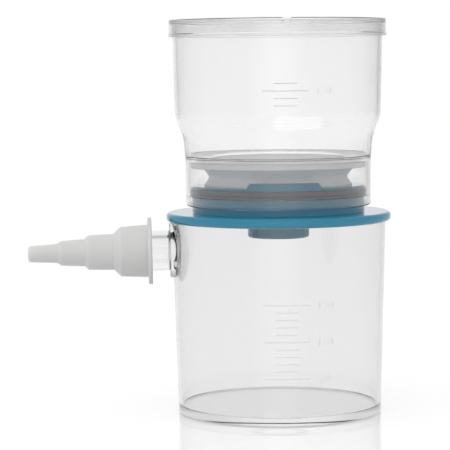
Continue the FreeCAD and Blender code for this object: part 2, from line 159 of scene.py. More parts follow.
def turnSector(name, corners, middle, sweep, steps):
    # Part of a turn, centred on the direction middle, with closed ends
    piece = drawOutline(name, corners, upright, True)
    bpy.ops.mesh.remove_doubles(threshold=mergeDistance)
    bpy.ops.mesh.edge_face_add()
    start = middle - sweep / 2
    bpy.ops.transform.rotate(value=-start, orient_axis="Z", center_override=(0, 0, 0))
    bpy.ops.mesh.spin(steps=steps, angle=-sweep, center=(0, 0, 0), axis=(0, 0, 1))
    tidyMesh()
    return piece


def makeBar(inner, outer, thickness, low, top, turnAngle):
    # A box that reaches outwards, then turned round the upright axis
    bpy.ops.object.select_all(action="DESELECT")
    bpy.ops.mesh.primitive_cube_add(
        size=1, location=((inner + outer) / 2 * mm, 0, (low + top) / 2 * mm)
    )
    bar = bpy.context.object
    bar.scale = ((outer - inner) * mm, thickness * mm, (top - low) * mm)
    bpy.ops.object.transform_apply(location=True, rotation=True, scale=True)
    bpy.ops.object.mode_set(mode="EDIT")
    bpy.ops.mesh.select_all(action="SELECT")
    bpy.ops.transform.rotate(value=-turnAngle, orient_axis="Z", center_override=(0, 0, 0))
    bpy.ops.object.mode_set(mode="OBJECT")
    return bar


def combine(piece, others, operation):
    # Joins the others to the piece or cuts them out of it, one after another
    for other in others:
        bpy.ops.object.select_all(action="DESELECT")
        bpy.context.view_layer.objects.active = piece
        cut = piece.modifiers.new("combine", "BOOLEAN")
        cut.operation = operation
        cut.object = other
        bpy.ops.object.modifier_apply(modifier=cut.name)
        bpy.data.objects.remove(other)


def finishPiece(piece, material, body, slot, *nodes):
    bpy.ops.object.select_all(action="DESELECT")
    piece.select_set(True)
    bpy.context.view_layer.objects.active = piece
    bpy.ops.object.shade_smooth_by_angle(angle=math.radians(rounding["smoothAngle"]))
    piece.data.materials.clear()
    piece.data.materials.append(material)
    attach(piece, body)
    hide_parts(*nodes)
    print("made", piece.name)


# Materials

def newMaterial(name):
    material = bpy.data.materials.new(name)
    material.use_nodes = True
    nodes = material.node_tree.nodes
    return material, nodes, material.node_tree.links, nodes["Principled BSDF"]


def addNoise(nodes, links, scale, detail):
    place = nodes.new("ShaderNodeTexCoord")
    noise = nodes.new("ShaderNodeTexNoise")
    noise.inputs["Scale"].default_value = scale
    noise.inputs["Detail"].default_value = detail
    links.new(place.outputs["Object"], noise.inputs["Vector"])
    return noise.outputs["Fac"]


def addRange(nodes, links, source, low, high):
    spread = nodes.new("ShaderNodeMapRange")
    spread.inputs["To Min"].default_value = low
    spread.inputs["To Max"].default_value = high
    links.new(source, spread.inputs["Value"])
    return spread.outputs["Result"]


def addTones(nodes, links, source, shader, look):
    # The colour drifts between the look's two tones
    mix = nodes.new("ShaderNodeMix")
    mix.data_type = "RGBA"
    mix.inputs["A"].default_value = (*look["deep"], 1)
    mix.inputs["B"].default_value = (*look["pale"], 1)
    links.new(source, mix.inputs["Factor"])
    links.new(mix.outputs["Result"], shader.inputs["Base Color"])


def addGloss(nodes, links, source, shader, look):
    gloss = addRange(nodes, links, source, look["glossy"], look["dull"])
    links.new(gloss, shader.inputs["Roughness"])


def addBump(nodes, links, source, shader, height, strength):
    bump = nodes.new("ShaderNodeBump")
    bump.inputs["Distance"].default_value = height
    bump.inputs["Strength"].default_value = strength
    links.new(source, bump.inputs["Height"])
    links.new(bump.outputs["Normal"], shader.inputs["Normal"])


def addScatter(shader, look):
    # Light goes a little way into the plastic and comes out again
    shader.inputs["Subsurface Weight"].default_value = look["scatter"]
    shader.inputs["Subsurface Radius"].default_value = look["scatterRadius"]
    shader.inputs["Subsurface Scale"].default_value = look["depth"]


# In the looks below a noise is (scale, detail) and a bump is (height, strength)

clearLook = {
    "receiver": {"colour": (0.91, 0.91, 0.91), "clear": 1},
    "chamber": {"colour": (0.98, 0.98, 0.98), "clear": 0.98},
    "ior": 1.59, "glossy": 0, "dull": 0.03, "film": (260, 3),
    "wave": (35, 1), "bump": (0.04 * mm, 0.5),
    "depthColour": (0.55, 0.55, 0.55), "density": 3,
}


def makeClearPlastic(name, own):
    # Thin walls: the tint is in the surface, and only long ways through the plastic darken more
    material, nodes, links, shader = newMaterial(name)
    shader.inputs["Base Color"].default_value = (*own["colour"], 1)
    shader.inputs["IOR"].default_value = clearLook["ior"]
    shader.inputs["Transmission Weight"].default_value = own["clear"]
    addGloss(nodes, links, addNoise(nodes, links, *clearLook["film"]), shader, clearLook)
    wave = addNoise(nodes, links, *clearLook["wave"])
    addBump(nodes, links, wave, shader, *clearLook["bump"])
    depth = nodes.new("ShaderNodeVolumeAbsorption")
    depth.inputs["Color"].default_value = (*clearLook["depthColour"], 1)
    depth.inputs["Density"].default_value = clearLook["density"]
    links.new(depth.outputs["Volume"], nodes["Material Output"].inputs["Volume"])
    return material


tealLook = {
    "deep": (0.022, 0.2, 0.32), "pale": (0.035, 0.235, 0.35), "flow": (90, 4), "ior": 1.5,
    "grain": (1400, 2), "glossy": 0.025, "dull": 0.06, "bump": (0.003 * mm, 0.3),
}
milkyLook = {
    "deep": (0.62, 0.62, 0.615), "pale": (0.68, 0.68, 0.675), "flow": (70, 3), "ior": 1.5,
    "grain": (1800, 3), "glossy": 0.42, "dull": 0.55, "bump": (0.02 * mm, 0.5),
    "scatter": 0.6, "scatterRadius": (1, 0.95, 0.9), "depth": 2.2 * mm,
}
whiteLook = {
    "deep": (0.965, 0.955, 0.96), "pale": (0.99, 0.98, 0.985), "flow": (110, 3), "ior": 1.5,
    "grain": (1500, 2), "glossy": 0.32, "dull": 0.45, "bump": (0.02 * mm, 0.4),
    "scatter": 0.3, "scatterRadius": (1, 0.97, 0.96), "depth": 1.8 * mm,
}


def makePlastic(name, look):
    # Moulded plastic: broad drifts of colour, and a fine grain in gloss and surface
    material, nodes, links, shader = newMaterial(name)
    addTones(nodes, links, addNoise(nodes, links, *look["flow"]), shader, look)
    grain = addNoise(nodes, links, *look["grain"])
    addGloss(nodes, links, grain, shader, look)
    addBump(nodes, links, grain, shader, *look["bump"])
    shader.inputs["IOR"].default_value = look["ior"]
    if "scatter" in look:
        addScatter(shader, look)
    return material


rubberLook = {
    "deep": (0.1, 0.1, 0.118), "pale": (0.145, 0.145, 0.168),
    "grain": (900, 4), "glossy": 0.45, "dull": 0.65, "bump": (0.03 * mm, 0.6),
}


def makeSealRubber():
    material, nodes, links, shader = newMaterial("sealRubber")
    grain = addNoise(nodes, links, *rubberLook["grain"])
    addTones(nodes, links, grain, shader, rubberLook)
    addGloss(nodes, links, grain, shader, rubberLook)
    addBump(nodes, links, grain, shader, *rubberLook["bump"])
    return material


sheetLook = {
    "deep": (0.82, 0.82, 0.81), "pale": (0.9, 0.9, 0.89),
    "fibre": (2200, 6), "roughness": 0.8, "bump": (0.03 * mm, 0.7),
}
cottonLook = {
    "deep": (0.72, 0.72, 0.7), "pale": (0.92, 0.92, 0.9),
    "fibre": (1600, 8), "roughness": 0.95, "bump": (0.2 * mm, 1), "sheen": 0.4,
}


def makeFibre(name, look):
    material, nodes, links, shader = newMaterial(name)
    fibre = addNoise(nodes, links, *look["fibre"])
    addTones(nodes, links, fibre, shader, look)
    shader.inputs["Roughness"].default_value = look["roughness"]
    shader.inputs["Sheen Weight"].default_value = look.get("sheen", 0)
    addBump(nodes, links, fibre, shader, *look["bump"])
    return material


receiverPlastic = makeClearPlastic("receiverPlastic", clearLook["receiver"])
chamberPlastic = makeClearPlastic("chamberPlastic", clearLook["chamber"])
tealPlastic = makePlastic("tealPlastic", tealLook)
milkyPlastic = makePlastic("milkyPlastic", milkyLook)
whitePlastic = makePlastic("whitePlastic", whiteLook)
sealRubber = makeSealRubber()
membraneSheet = makeFibre("membraneSheet", sheetLook)
plugFibre = makeFibre("plugFibre", cottonLook)
print("materials ready")


# Graduation lines and numerals

scale = {
    "pitch": 2.55, "lineHeight": 0.45, "relief": 0.15, "crest": 0.15, "short": 12.5, "long": 25,
    "front": -90, "steps": 288, "nearWall": 0.5, "nearMiddle": 0.01,
}
digits = {
    "height": 3.0, "share": 0.72, "curveSteps": 3, "relief": 0.05, "sink": 0.2,
    "azimuth": -69, "margin": 0.3,
}


def wallPoints(lines, numerals, wallRadius):
    # Points up a tapered wall, so that its faces start and end where the lines and numerals do
    reach = digits["height"] / 2 + digits["margin"]
    heights = [middle + way * scale["lineHeight"] / 2 for middle in lines for way in (-1, 1)]
    heights += [middle + way * reach for middle in numerals for way in (-1, 1)]
    return [(wallRadius(height), height) for height in sorted(heights)]


def raiseLine(piece, middle, radius, sweep):
    # The wall's own faces at a line's place, pulled out of it and narrowed to a crest
    bpy.ops.object.mode_set(mode="EDIT")
    bpy.ops.mesh.select_mode(type="FACE")
    bpy.ops.mesh.select_all(action="DESELECT")
    bpy.ops.object.mode_set(mode="OBJECT")
    for face in piece.data.polygons:
        x, y, z = face.center / mm
        across = abs(math.degrees(math.atan2(y, x)) - scale["front"])
        outside = math.hypot(x, y) > radius - scale["nearWall"]
        level = abs(z - middle) < scale["nearMiddle"]
        face.select = outside and level and across < sweep / 2
    bpy.ops.object.mode_set(mode="EDIT")
    relief = scale["relief"] * mm
    bpy.ops.mesh.extrude_region_shrink_fatten(TRANSFORM_OT_shrink_fatten={"value": relief})
    bpy.ops.transform.resize(value=(1, 1, scale["crest"]), center_override=(0, 0, middle * mm))
    bpy.ops.mesh.select_mode(type="VERT")
    bpy.ops.object.mode_set(mode="OBJECT")


def makeNumeral(words, height, radius):
    # Flat text, made a mesh, then stood upright against the wall
    bpy.ops.object.select_all(action="DESELECT")
    bpy.ops.object.text_add()
    numeral = bpy.context.object
    numeral.data.body = words
    numeral.data.align_x = "CENTER"
    numeral.data.align_y = "CENTER"
    numeral.data.size = digits["height"] * mm / digits["share"]  # a digit's share of the size
    numeral.data.resolution_u = digits["curveSteps"]
    numeral.data.extrude = digits["sink"] * mm
    bpy.ops.object.convert(target="MESH")
    azimuth = math.radians(digits["azimuth"])
    stand = Matrix.Rotation(azimuth + math.pi / 2, 4, "Z") @ Matrix.Rotation(math.pi / 2, 4, "X")
    depth = (radius + digits["relief"] - digits["sink"]) * mm
    place = Vector((math.cos(azimuth) * depth, math.sin(azimuth) * depth, height * mm))
    numeral.matrix_world = Matrix.Translation(place) @ stand
    bpy.ops.object.transform_apply(location=True, rotation=True, scale=True)
    return numeral


# Receiver cup with its side arm

cup = {
    "height": cupTop / mm, "bottomRadius": 36.2, "topRadius": cupTopRadius / mm, "wall": 1.5,
    "floor": 2.9, "footRound": 0.4, "floorRound": 0.4, "rimBreak": 0.3, "cutReach": 1,
    "gateRadius": 6.3, "gateGroove": 0.7, "gateDepth": 0.12,
    "firstLine": 16.375, "lines": 11, "every": 5, "numerals": ("50", "100", "150"),
}
arm = {
    "root": 34.7, "padRadius": 9.7, "padFace": 38.95, "padRound": 0.3, "radius": 7.1,
    "rootRound": 0.4, "end": 54.7, "endRound": 0.4,
    "bore": 4.6, "boreStart": 31.7, "boreEnd": 56.7, "steps": 96,
}


def cupRadius(height):
    return cup["bottomRadius"] + (cup["topRadius"] - cup["bottomRadius"]) * height / cup["height"]


def makeReceiverCup():
    gateInner = cup["gateRadius"] - cup["gateGroove"]
    lines = [cup["firstLine"] + scale["pitch"] * i for i in range(cup["lines"])]
    numbered = lines[::cup["every"]]
    piece = turnPiece("receiverCup", [
        (0, 0),
        (gateInner, 0),
        (gateInner, cup["gateDepth"]),
        (cup["gateRadius"], cup["gateDepth"]),
        (cup["gateRadius"], 0),
        (cup["bottomRadius"], 0, cup["footRound"]),
        *wallPoints(lines, numbered, cupRadius),
        (cup["topRadius"], cup["height"], cup["rimBreak"]),
        (0, cup["height"]),
    ], steps=scale["steps"])
    for i, height in enumerate(lines):
        sweep = scale["short"] if i % cup["every"] else scale["long"]
        raiseLine(piece, height, cupRadius(height), sweep)
    sideArm = turnPiece("sideArm", [
        (0, arm["root"]),
        (arm["padRadius"], arm["root"]),
        (arm["padRadius"], arm["padFace"], arm["padRound"]),
        (arm["radius"], arm["padFace"], arm["rootRound"]),
        (arm["radius"], arm["end"], arm["endRound"]),
        (0, arm["end"]),
    ], alongArm, steps=arm["steps"])
    numerals = [
        makeNumeral(words, height, cupRadius(height))
        for words, height in zip(cup["numerals"], numbered)
    ]
    combine(piece, [sideArm] + numerals, "UNION")
    innerTop = cup["topRadius"] - cup["wall"]
    inside = turnPiece("inside", [
        (0, cup["floor"]),
        (cupRadius(cup["floor"]) - cup["wall"], cup["floor"], cup["floorRound"]),
        (innerTop, cup["height"] - cup["rimBreak"]),
        (innerTop + cup["rimBreak"], cup["height"]),
        (innerTop + cup["rimBreak"], cup["height"] + cup["cutReach"]),
        (0, cup["height"] + cup["cutReach"]),
    ], steps=scale["steps"])
    bore = turnPiece("bore", [
        (0, arm["boreStart"]),
        (arm["bore"], arm["boreStart"]),
        (arm["bore"], arm["boreEnd"]),
        (0, arm["boreEnd"]),
    ], alongArm, steps=arm["steps"])
    combine(piece, [inside, bore], "DIFFERENCE")
    finishPiece(piece, receiverPlastic, "receiver", "clear_plastic", "receiver_cup")


def makePlug():
    plug = {"start": 47.7, "end": 53.7, "radius": 4.55, "round": 1.2, "steps": 64}
    piece = turnPiece("cottonPlug", [
        (0, plug["start"]),
        (plug["radius"], plug["start"], plug["round"]),
        (plug["radius"], plug["end"], plug["round"]),
        (0, plug["end"]),
    ], alongArm, steps=plug["steps"])
    finishPiece(piece, plugFibre, "receiver", "plug_fibre", "side_arm_plug")


# Hose adapter

adapter = {
    "start": 45.3, "flange": 1.4, "radius": adapterRadius / mm, "flangeRound": 0.3,
    "socket": 7.15, "socketEnd": 55.2, "wall": 1.1, "boreFloor": 2.2,
    "stepRound": 0.35, "rootRound": 0.4, "tipRound": 1.0, "turnSteps": 128,
    "steps": [
        {"length": 9.7, "root": 9.35, "tip": 8.8, "shoulder": 2.5},
        {"length": 9.0, "root": 6.4, "tip": 6.13, "shoulder": 1.4},
        {"length": 8.2, "root": 4.82, "tip": 4.4, "shoulder": 1.6},
        {"length": 10.15, "root": 3.35, "tip": 2.83, "shoulder": 0},
    ],
}


def makeAdapter():
    low = adapter["start"] + adapter["flange"]
    outside = [
        (adapter["socket"], adapter["start"]),
        (adapter["radius"], adapter["start"], adapter["flangeRound"]),
        (adapter["radius"], low, adapter["flangeRound"]),
    ]
    inside = [(adapter["socket"], adapter["socketEnd"])]
    lastStep = adapter["steps"][-1]
    for step in adapter["steps"]:
        outside.append((step["root"], low, adapter["rootRound"]))
        newBore = step["tip"] - adapter["wall"]
        if low > adapter["socketEnd"]:
            # Past the socket, the bore changes a little before each step's root
            change = low - adapter["boreFloor"]
            inside += [(bore, change), (newBore, change)]
        bore = newBore
        tip = low + step["length"]
        edge = adapter["tipRound"] if step is lastStep else adapter["stepRound"]
        outside.append((step["tip"], tip, edge))
        low = tip + step["shoulder"]
    inside.append((bore, tip))
    corners = outside + inside[::-1]
    piece = turnPiece("hoseAdapter", corners, alongArm, ring=True, steps=adapter["turnSteps"])
    finishPiece(piece, milkyPlastic, "adapter", "milky_plastic", "hose_adapter")


# Filter base, seal and gasket

base = {
    "flangeLow": cupTop / mm - 1.0, "flangeThickness": 3.3, "flangeRadius": flangeRadius / mm,
    "flangeRound": 1.3, "grooveInner": 36.35, "grooveOuter": 38.45, "grooveHigh": cupTop / mm + 0.6,
    "collarRadius": 30.7, "collarTop": collarTop / mm, "collarRound": 0.3, "collarRootRound": 0.5,
    "sealRoot": 29.0, "coreRadius": 25.0, "coreTop": 77.2,
    "dishRadius": 22.8, "dishEdge": 80.5, "dishCentre": 79.4, "dishRound": 0.3,
    "bossRadius": 11.0, "bossInner": 8.8, "bossLow": bossLow / mm, "bossRound": 0.8,
    "bossInnerRound": 0.3,
    "nozzleRadius": 4.6, "nozzleBore": 3.0, "nozzleLow": 64.0, "nozzleRound": 0.3,
    "ribs": 8, "ribThickness": 1.6, "ribLow": 70.0, "ribSink": 1.1,
}
lugs = {
    "middles": (-90, 90), "sweep": 60, "steps": 30, "inner": 28.3, "sink": 0.6,
    "top": lugTop / mm, "round": 0.3, "rootWidth": 25.8, "topWidth": 22.8,
}


def makeRib(turnAngle):
    # A plate from the boss to the collar, sunk a little into both and into the core above
    inner = base["bossRadius"] - base["ribSink"]
    outer = base["coreRadius"] + base["ribSink"]
    top = base["coreTop"] + base["ribSink"]
    return makeBar(inner, outer, base["ribThickness"], base["ribLow"], top, turnAngle)


def makeLug(middle):
    # A sector of the collar's rim, cut back at a slope at both ends
    low = base["collarTop"] - lugs["sink"]
    corners = [
        (lugs["inner"], low),
        (base["collarRadius"], low),
        (base["collarRadius"], lugs["top"], lugs["round"]),
        (lugs["inner"], lugs["top"], lugs["round"]),
    ]
    angle = math.radians(middle)
    lug = turnSector("lug", corners, angle, math.radians(lugs["sweep"]), lugs["steps"])
    facing = Vector((math.cos(angle), math.sin(angle), 0))
    side = Vector((-facing.y, facing.x, 0))
    root = Vector((0, 0, base["collarTop"] * mm))
    slope = (lugs["rootWidth"] - lugs["topWidth"]) / 2 / (lugs["top"] - base["collarTop"])
    bpy.ops.object.mode_set(mode="EDIT")
    for way in (-1, 1):
        bpy.ops.mesh.select_all(action="SELECT")
        bpy.ops.mesh.bisect(
            plane_co=side * way * lugs["rootWidth"] / 2 * mm + root,
            plane_no=side * way + Vector((0, 0, slope)),
            use_fill=True,
            clear_outer=True,
        )
    tidyMesh()
    return lug


def makeFilterBase():
    flangeHigh = base["flangeLow"] + base["flangeThickness"]
    piece = turnPiece("filterBase", [
        (base["nozzleBore"], base["nozzleLow"]),
        (base["nozzleRadius"], base["nozzleLow"], base["nozzleRound"]),
        (base["nozzleRadius"], base["coreTop"]),
        (base["bossInner"], base["coreTop"]),
        (base["bossInner"], base["bossLow"], base["bossInnerRound"]),
        (base["bossRadius"], base["bossLow"], base["bossRound"]),
        (base["bossRadius"], base["coreTop"]),
        (base["coreRadius"], base["coreTop"]),
        (base["coreRadius"], base["flangeLow"]),
        (base["grooveInner"], base["flangeLow"]),
        (base["grooveInner"], base["grooveHigh"]),
        (base["grooveOuter"], base["grooveHigh"]),
        (base["grooveOuter"], base["flangeLow"]),
        (base["flangeRadius"], base["flangeLow"], base["flangeRound"]),
        (base["flangeRadius"], flangeHigh, base["flangeRound"]),
        (base["collarRadius"], flangeHigh, base["collarRootRound"]),
        (base["collarRadius"], sealLow / mm),
        (base["sealRoot"], sealLow / mm),
        (base["sealRoot"], sealHigh / mm),
        (base["collarRadius"], sealHigh / mm),
        (base["collarRadius"], base["collarTop"], base["collarRound"]),
        (base["dishRadius"], base["collarTop"], base["collarRound"]),
        (base["dishRadius"], base["dishEdge"], base["dishRound"]),
        (base["nozzleBore"], base["dishCentre"], base["dishRound"]),
    ], ring=True)
    ribs = [makeRib(math.tau * i / base["ribs"]) for i in range(base["ribs"])]
    combine(piece, ribs + [makeLug(middle) for middle in lugs["middles"]], "UNION")
    finishPiece(piece, tealPlastic, "filter_head", "teal_plastic", "filter_base")


def makeSeal():
    seal = {
        "inner": 29.05, "outer": 31.42, "round": 0.8, "lip": 0.9, "lipRound": 0.35,
        "groove": 0.5, "grooveWidth": 0.5, "grooveEdge": 0.25, "grooveRound": 0.1,
    }
    lipTop = sealLow / mm + seal["lip"]
    piece = turnPiece("chamberSeal", [
        (seal["inner"], sealLow / mm),
        (seal["outer"], sealLow / mm, seal["lipRound"]),
        (seal["outer"], lipTop, seal["grooveEdge"]),
        (seal["outer"] - seal["groove"], lipTop + seal["grooveWidth"] / 2, seal["grooveRound"]),
        (seal["outer"], lipTop + seal["grooveWidth"], seal["grooveEdge"]),
        (seal["outer"], sealHigh / mm, seal["round"]),
        (seal["inner"], sealHigh / mm),
    ], ring=True)
    finishPiece(piece, sealRubber, "filter_head", "seal_rubber", "chamber_seal")


def makeGasket():
    gasket = {
        "inner": 36.4, "outer": 38.4, "low": cupTop / mm, "high": base["grooveHigh"], "round": 0.15,
    }
    piece = turnPiece("receiverGasket", [
        (gasket["inner"], gasket["low"], gasket["round"]),
        (gasket["outer"], gasket["low"], gasket["round"]),
        (gasket["outer"], gasket["high"]),
        (gasket["inner"], gasket["high"]),
    ], ring=True)
    finishPiece(piece, sealRubber, "filter_head", "seal_rubber", "receiver_gasket")


# Support plate and membrane

support = {
    "top": supportTop / mm, "low": collarTop / mm, "disc": 2.0, "discRound": 0.4,
    "radius": supportRadius / mm, "edgeRound": 0.3,
    "recess": 0.9, "recessRadius": 23.6, "recessRound": 0.2,
    "ring": 12.0, "ringSink": 0.3, "ringSteps": 96, "rib": 0.8,
    "spokes": 12, "spokeStart": 3.0, "spokeReach": 0.4, "spokeLow": 0.5,
    "hole": 1.5, "holeCircle": 17.0, "holeDepth": 6, "holeSteps": 32,
    "foot": 26.3, "footInner": 23.45, "footEdge": 0.5, "footRound": 0.2,
    "waist": 24.3, "waistInner": 22.4, "waistTop": 26.8, "waistRound": 1.6,
}


def makeSpoke(turnAngle):
    low = support["top"] - support["disc"] + support["spokeLow"]
    outer = support["recessRadius"] + support["spokeReach"]
    return makeBar(support["spokeStart"], outer, support["rib"], low, support["top"], turnAngle)


def makeHole(turnAngle):
    place = Vector((math.cos(turnAngle), math.sin(turnAngle), 0)) * support["holeCircle"] * mm
    place.z = (support["top"] - support["disc"] / 2) * mm
    bpy.ops.object.select_all(action="DESELECT")
    bpy.ops.mesh.primitive_cylinder_add(
        vertices=support["holeSteps"], radius=support["hole"] * mm,
        depth=support["holeDepth"] * mm, location=place,
    )
    bpy.ops.object.transform_apply(location=True)
    return bpy.context.object


def makeSupportPlate():
    discLow = support["top"] - support["disc"]
    recess = support["top"] - support["recess"]
    piece = turnPiece("supportPlate", [
        (support["hole"], discLow),
        (support["waistInner"], discLow, support["discRound"]),
        (support["footInner"], support["low"]),
        (support["foot"], support["low"]),
        (support["foot"], support["low"] + support["footEdge"], support["footRound"]),
        (support["waist"], (support["low"] + discLow) / 2, support["waistRound"]),
        (support["waistTop"], discLow, support["discRound"]),
        (support["radius"], discLow, support["edgeRound"]),
        (support["radius"], support["top"], support["edgeRound"]),
        (support["recessRadius"], support["top"], support["recessRound"]),
        (support["recessRadius"], recess),
        (support["hole"], recess),
    ], ring=True)
    ring = turnPiece("ring", [
        (support["ring"] - support["rib"] / 2, recess - support["ringSink"]),
        (support["ring"] + support["rib"] / 2, recess - support["ringSink"]),
        (support["ring"] + support["rib"] / 2, support["top"]),
        (support["ring"] - support["rib"] / 2, support["top"]),
    ], ring=True, steps=support["ringSteps"])
    angles = [math.tau * i / support["spokes"] for i in range(support["spokes"])]
    combine(piece, [ring] + [makeSpoke(angle) for angle in angles], "UNION")
    between = math.pi / support["spokes"]
    combine(piece, [makeHole(angle + between) for angle in angles], "DIFFERENCE")
    finishPiece(piece, whitePlastic, "filter_head", "white_plastic", "support_plate")


def makeMembrane():
    sheet = {
        "radius": membraneRadius / mm, "round": 0.08,
        "low": supportTop / mm, "top": membraneTop / mm,
    }
    piece = turnPiece("membraneSheet", [
        (0, sheet["low"]),
        (sheet["radius"], sheet["low"], sheet["round"]),
        (sheet["radius"], sheet["top"], sheet["round"]),
        (0, sheet["top"]),
    ])
    finishPiece(piece, membraneSheet, "filter_head", "membrane_sheet", "membrane")


# Upper chamber

chamber = {
    "low": chamberLow / mm, "top": chamberTop / mm, "topRadius": chamberTopRadius / mm,
    "wall": 1.45, "rimBreak": 0.3,
    "skirt": 32.95, "skirtRound": 1.1, "lead": 0.15, "leadDepth": 3.7, "skirtTop": supportTop / mm,
    "shoulderLow": membraneTop / mm + 8.3, "shoulderHigh": membraneTop / mm + 16.1,
    "lowRadius": 33.6, "highRadius": 36.55, "shoulderRound": 12.0,
    "ledgeLow": membraneTop / mm, "ledge": 24.0, "ledgeThickness": 1.0, "ledgeFall": 0.6,
    "ledgeRound": 0.15, "ledgeRootRound": 0.5,
    "firstLine": membraneTop / mm + 19.875, "lines": 4, "longLine": 2, "numeral": "100",
}


def chamberRadius(height):
    rise = chamber["top"] - chamber["shoulderHigh"]
    taper = (chamber["topRadius"] - chamber["highRadius"]) / rise
    return chamber["highRadius"] + taper * (height - chamber["shoulderHigh"])


def makeChamber():
    wall = chamber["wall"]
    bore = chamber["skirt"] - wall
    leadTop = chamber["low"] + chamber["leadDepth"]
    ledgeTop = chamber["ledgeLow"] + chamber["ledgeThickness"]
    lines = [chamber["firstLine"] + scale["pitch"] * i for i in range(chamber["lines"])]
    numbered = lines[chamber["longLine"]]
    piece = turnPiece("upperChamber", [
        (bore + chamber["lead"], chamber["low"]),
        (chamber["skirt"], chamber["low"], chamber["skirtRound"]),
        (chamber["skirt"], chamber["skirtTop"]),
        (chamber["lowRadius"], chamber["shoulderLow"], chamber["shoulderRound"]),
        (chamber["highRadius"], chamber["shoulderHigh"], chamber["shoulderRound"]),
        *wallPoints(lines, [numbered], chamberRadius),
        (chamber["topRadius"], chamber["top"], chamber["rimBreak"]),
        (chamber["topRadius"] - wall, chamber["top"], chamber["rimBreak"]),
        (chamber["highRadius"] - wall, chamber["shoulderHigh"], chamber["shoulderRound"] - wall),
        (chamber["lowRadius"] - wall, chamber["shoulderLow"], chamber["shoulderRound"] + wall),
        (bore, ledgeTop + chamber["ledgeFall"], chamber["ledgeRootRound"]),
        (chamber["ledge"], ledgeTop, chamber["ledgeRound"]),
        (chamber["ledge"], chamber["ledgeLow"]),
        (bore, chamber["ledgeLow"]),
        (bore, leadTop),
        (bore + chamber["lead"], leadTop - chamber["lead"]),
    ], ring=True, steps=scale["steps"])
    for i, height in enumerate(lines):
        sweep = scale["long"] if i == chamber["longLine"] else scale["short"]
        raiseLine(piece, height, chamberRadius(height), sweep)
    numeral = makeNumeral(chamber["numeral"], numbered, chamberRadius(numbered))
    combine(piece, [numeral], "UNION")
    finishPiece(piece, chamberPlastic, "chamber", "clear_plastic", "upper_chamber")


# Lid

lid = {
    "low": lidLow / mm, "top": lidTop / mm, "plate": chamberTop / mm, "wall": 0.9, "round": 0.3,
    "bore": 37.6, "boreRound": 0.3,
    "lip": lidLipRadius / mm, "lipHeight": 0.8, "lipSlope": 0.3, "lipRound": 0.15,
    "middle": 0.5, "padWidth": 3.4, "padHeight": 3.1, "padDrop": 1.2, "padProud": 0.25,
    "padSink": 0.1, "notch": 1.6, "notchDepth": 2.0, "notchSteps": 48,
}


def makeLid():
    radius = lid["bore"] + lid["wall"]
    lipTop = lid["low"] + lid["lipHeight"]
    piece = turnPiece("chamberLid", [
        (0, lid["plate"]),
        (lid["bore"], lid["plate"], lid["boreRound"]),
        (lid["bore"], lid["low"]),
        (lid["lip"], lid["low"], lid["lipRound"]),
        (lid["lip"], lipTop, lid["lipRound"]),
        (radius, lipTop + lid["lipSlope"]),
        (radius, lid["top"], lid["round"]),
        (0, lid["top"]),
    ])
    padY = -(radius - lid["padSink"])
    padZ = lid["top"] - lid["padDrop"] - lid["padHeight"] / 2
    padDepth = 2 * (lid["padProud"] + lid["padSink"])
    bpy.ops.object.select_all(action="DESELECT")
    bpy.ops.mesh.primitive_cube_add(size=1, location=(lid["middle"] * mm, padY * mm, padZ * mm))
    pad = bpy.context.object
    pad.scale = (lid["padWidth"] * mm, padDepth * mm, lid["padHeight"] * mm)
    bpy.ops.object.transform_apply(location=True, rotation=True, scale=True)
    combine(piece, [pad], "UNION")
    bpy.ops.object.select_all(action="DESELECT")
    bpy.ops.mesh.primitive_cylinder_add(
        vertices=lid["notchSteps"], radius=lid["notch"] * mm, depth=2 * lid["notchDepth"] * mm,
        location=(lid["middle"] * mm, -radius * mm, lid["top"] * mm),
        rotation=(math.pi / 2, 0, 0),
    )
    bpy.ops.object.transform_apply(location=True, rotation=True, scale=True)
    combine(piece, [bpy.context.object], "DIFFERENCE")
    finishPiece(piece, chamberPlastic, "cover", "clear_plastic", "lid")


makeReceiverCup()
makePlug()
makeAdapter()
makeFilterBase()
makeSeal()
makeGasket()
makeSupportPlate()
makeMembrane()
makeChamber()
makeLid()


# Floor, light and camera. The ceiling and the sides are fades: (start, end, level at the end).

studio = {
    "floorSize": 6, "floorDrop": 0.05 * mm, "floorRoughness": 0.02, "floorIor": 1.5,
    "floorColour": 0.8, "floorShade": 0.35, "floorGlow": 0.68, "floorLift": 0.15,
    "seen": 1.0, "ambient": 0.85, "ceiling": (0.35, 0.85, 0.55), "sides": (0.15, 0.6, 0.62),
    "lampSize": 1.4, "lampPower": 6, "lampPlace": (-0.35, -0.5, 1.25),
}


def addMath(nodes, links, operation, first, second=None):
    # Each of the two is a socket or a number
    step = nodes.new("ShaderNodeMath")
    step.operation = operation
    for i, value in enumerate((first, second)):
        if isinstance(value, (int, float)):
            step.inputs[i].default_value = value
        elif value is not None:
            links.new(value, step.inputs[i])
    return step.outputs["Value"]


def addSeen(nodes, links):
    # 1 for what the camera, a reflection or a clear piece sees, 0 for the light on things
    path = nodes.new("ShaderNodeLightPath")
    ray = path.outputs
    direct = addMath(nodes, links, "MAXIMUM", ray["Is Camera Ray"], ray["Is Glossy Ray"])
    return ray, addMath(nodes, links, "MAXIMUM", direct, ray["Is Transmission Ray"])


def addFade(nodes, links, source, start, end, least):
    # 1 up to the start, the least from the end on
    fade = nodes.new("ShaderNodeMapRange")
    fade.interpolation_type = "SMOOTHSTEP"
    fade.inputs["From Min"].default_value = start
    fade.inputs["From Max"].default_value = end
    fade.inputs["To Min"].default_value = studio["seen"]
    fade.inputs["To Max"].default_value = least
    links.new(source, fade.inputs["Value"])
    return fade.outputs["Result"]


